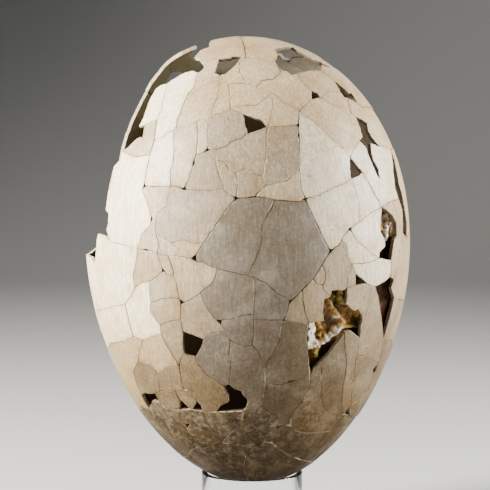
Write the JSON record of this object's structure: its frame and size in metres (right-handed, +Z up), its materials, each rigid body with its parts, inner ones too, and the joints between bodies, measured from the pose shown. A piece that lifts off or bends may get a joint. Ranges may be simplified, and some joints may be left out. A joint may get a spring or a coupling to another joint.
{
  "type": "subfossil moa egg",
  "caption": "Large hollow egg glued together from its shell fragments, with pieces missing, standing almost upright in the rim of a short clear tube.",
  "frame": {"origin": "under the middle of the egg, on the surface that the tube stands on", "axes": "+Z up along the tube's axis, with the egg's long axis leaning 1.8 degrees from it towards -X; the side that the picture shows faces -Y"},
  "size_m": [0.1747, 0.175, 0.2718],
  "materials": {
    "shell_crown": "matt cream eggshell",
    "shell_shoulder": "matt ivory eggshell with fine pores",
    "shell_belly": "matt grey-buff eggshell with fine pores",
    "shell_flank": "matt buff eggshell with fine pores",
    "shell_foot": "matt stained eggshell",
    "amber_film": "glossy crumpled amber film",
    "clear_acrylic": "polished clear acrylic"
  },
  "bodies": {
    "root": {"lining_film": "amber_film", "shell_belly_back_1": "shell_belly", "shell_belly_back_2": "shell_belly", "shell_belly_back_3": "shell_belly", "shell_belly_front_1": "shell_belly", "shell_belly_front_2": "shell_belly", "shell_belly_front_3": "shell_belly", "shell_belly_front_4": "shell_belly", "shell_belly_left_1": "shell_belly", "shell_belly_left_2": "shell_belly", "shell_belly_right_1": "shell_belly", "shell_belly_right_2": "shell_belly", "shell_belly_right_3": "shell_belly", "shell_crown_back_1": "shell_crown", "shell_crown_back_2": "shell_crown", "shell_crown_front_1": "shell_crown", "shell_crown_front_2": "shell_crown", "shell_crown_left_1": "shell_crown", "shell_crown_left_2": "shell_crown", "shell_crown_right_1": "shell_crown", "shell_crown_right_2": "shell_crown", "shell_crown_right_3": "shell_crown", "shell_flank_back_1": "shell_flank", "shell_flank_back_2": "shell_flank", "shell_flank_back_3": "shell_flank", "shell_flank_back_4": "shell_flank", "shell_flank_back_5": "shell_flank", "shell_flank_front_1": "shell_flank", "shell_flank_front_2": "shell_flank", "shell_flank_front_3": "shell_flank", "shell_flank_left_1": "shell_flank", "shell_flank_left_2": "shell_flank", "shell_flank_left_3": "shell_flank", "shell_flank_left_4": "shell_flank", "shell_flank_right_1": "shell_flank", "shell_flank_right_2": "shell_flank", "shell_flank_right_3": "shell_flank", "shell_flank_right_4": "shell_flank", "shell_flank_right_5": "shell_flank", "shell_flank_right_6": "shell_flank", "shell_foot_back_1": "shell_foot", "shell_foot_back_2": "shell_foot", "shell_foot_front_1": "shell_foot", "shell_foot_front_2": "shell_foot", "shell_foot_front_3": "shell_foot", "shell_foot_left_1": "shell_foot", "shell_foot_left_2": "shell_foot", "shell_foot_right_1": "shell_foot", "shell_shoulder_back_1": "shell_shoulder", "shell_shoulder_back_2": "shell_shoulder", "shell_shoulder_front_1": "shell_shoulder", "shell_shoulder_front_2": "shell_shoulder", "shell_shoulder_front_3": "shell_shoulder", "shell_shoulder_left_1": "shell_shoulder", "shell_shoulder_right_1": "shell_shoulder", "shell_shoulder_right_2": "shell_shoulder", "shell_shoulder_right_3": "shell_shoulder", "shell_shoulder_right_4": "shell_shoulder", "stand_tube": "clear_acrylic"}
  },
  "joints": []
}
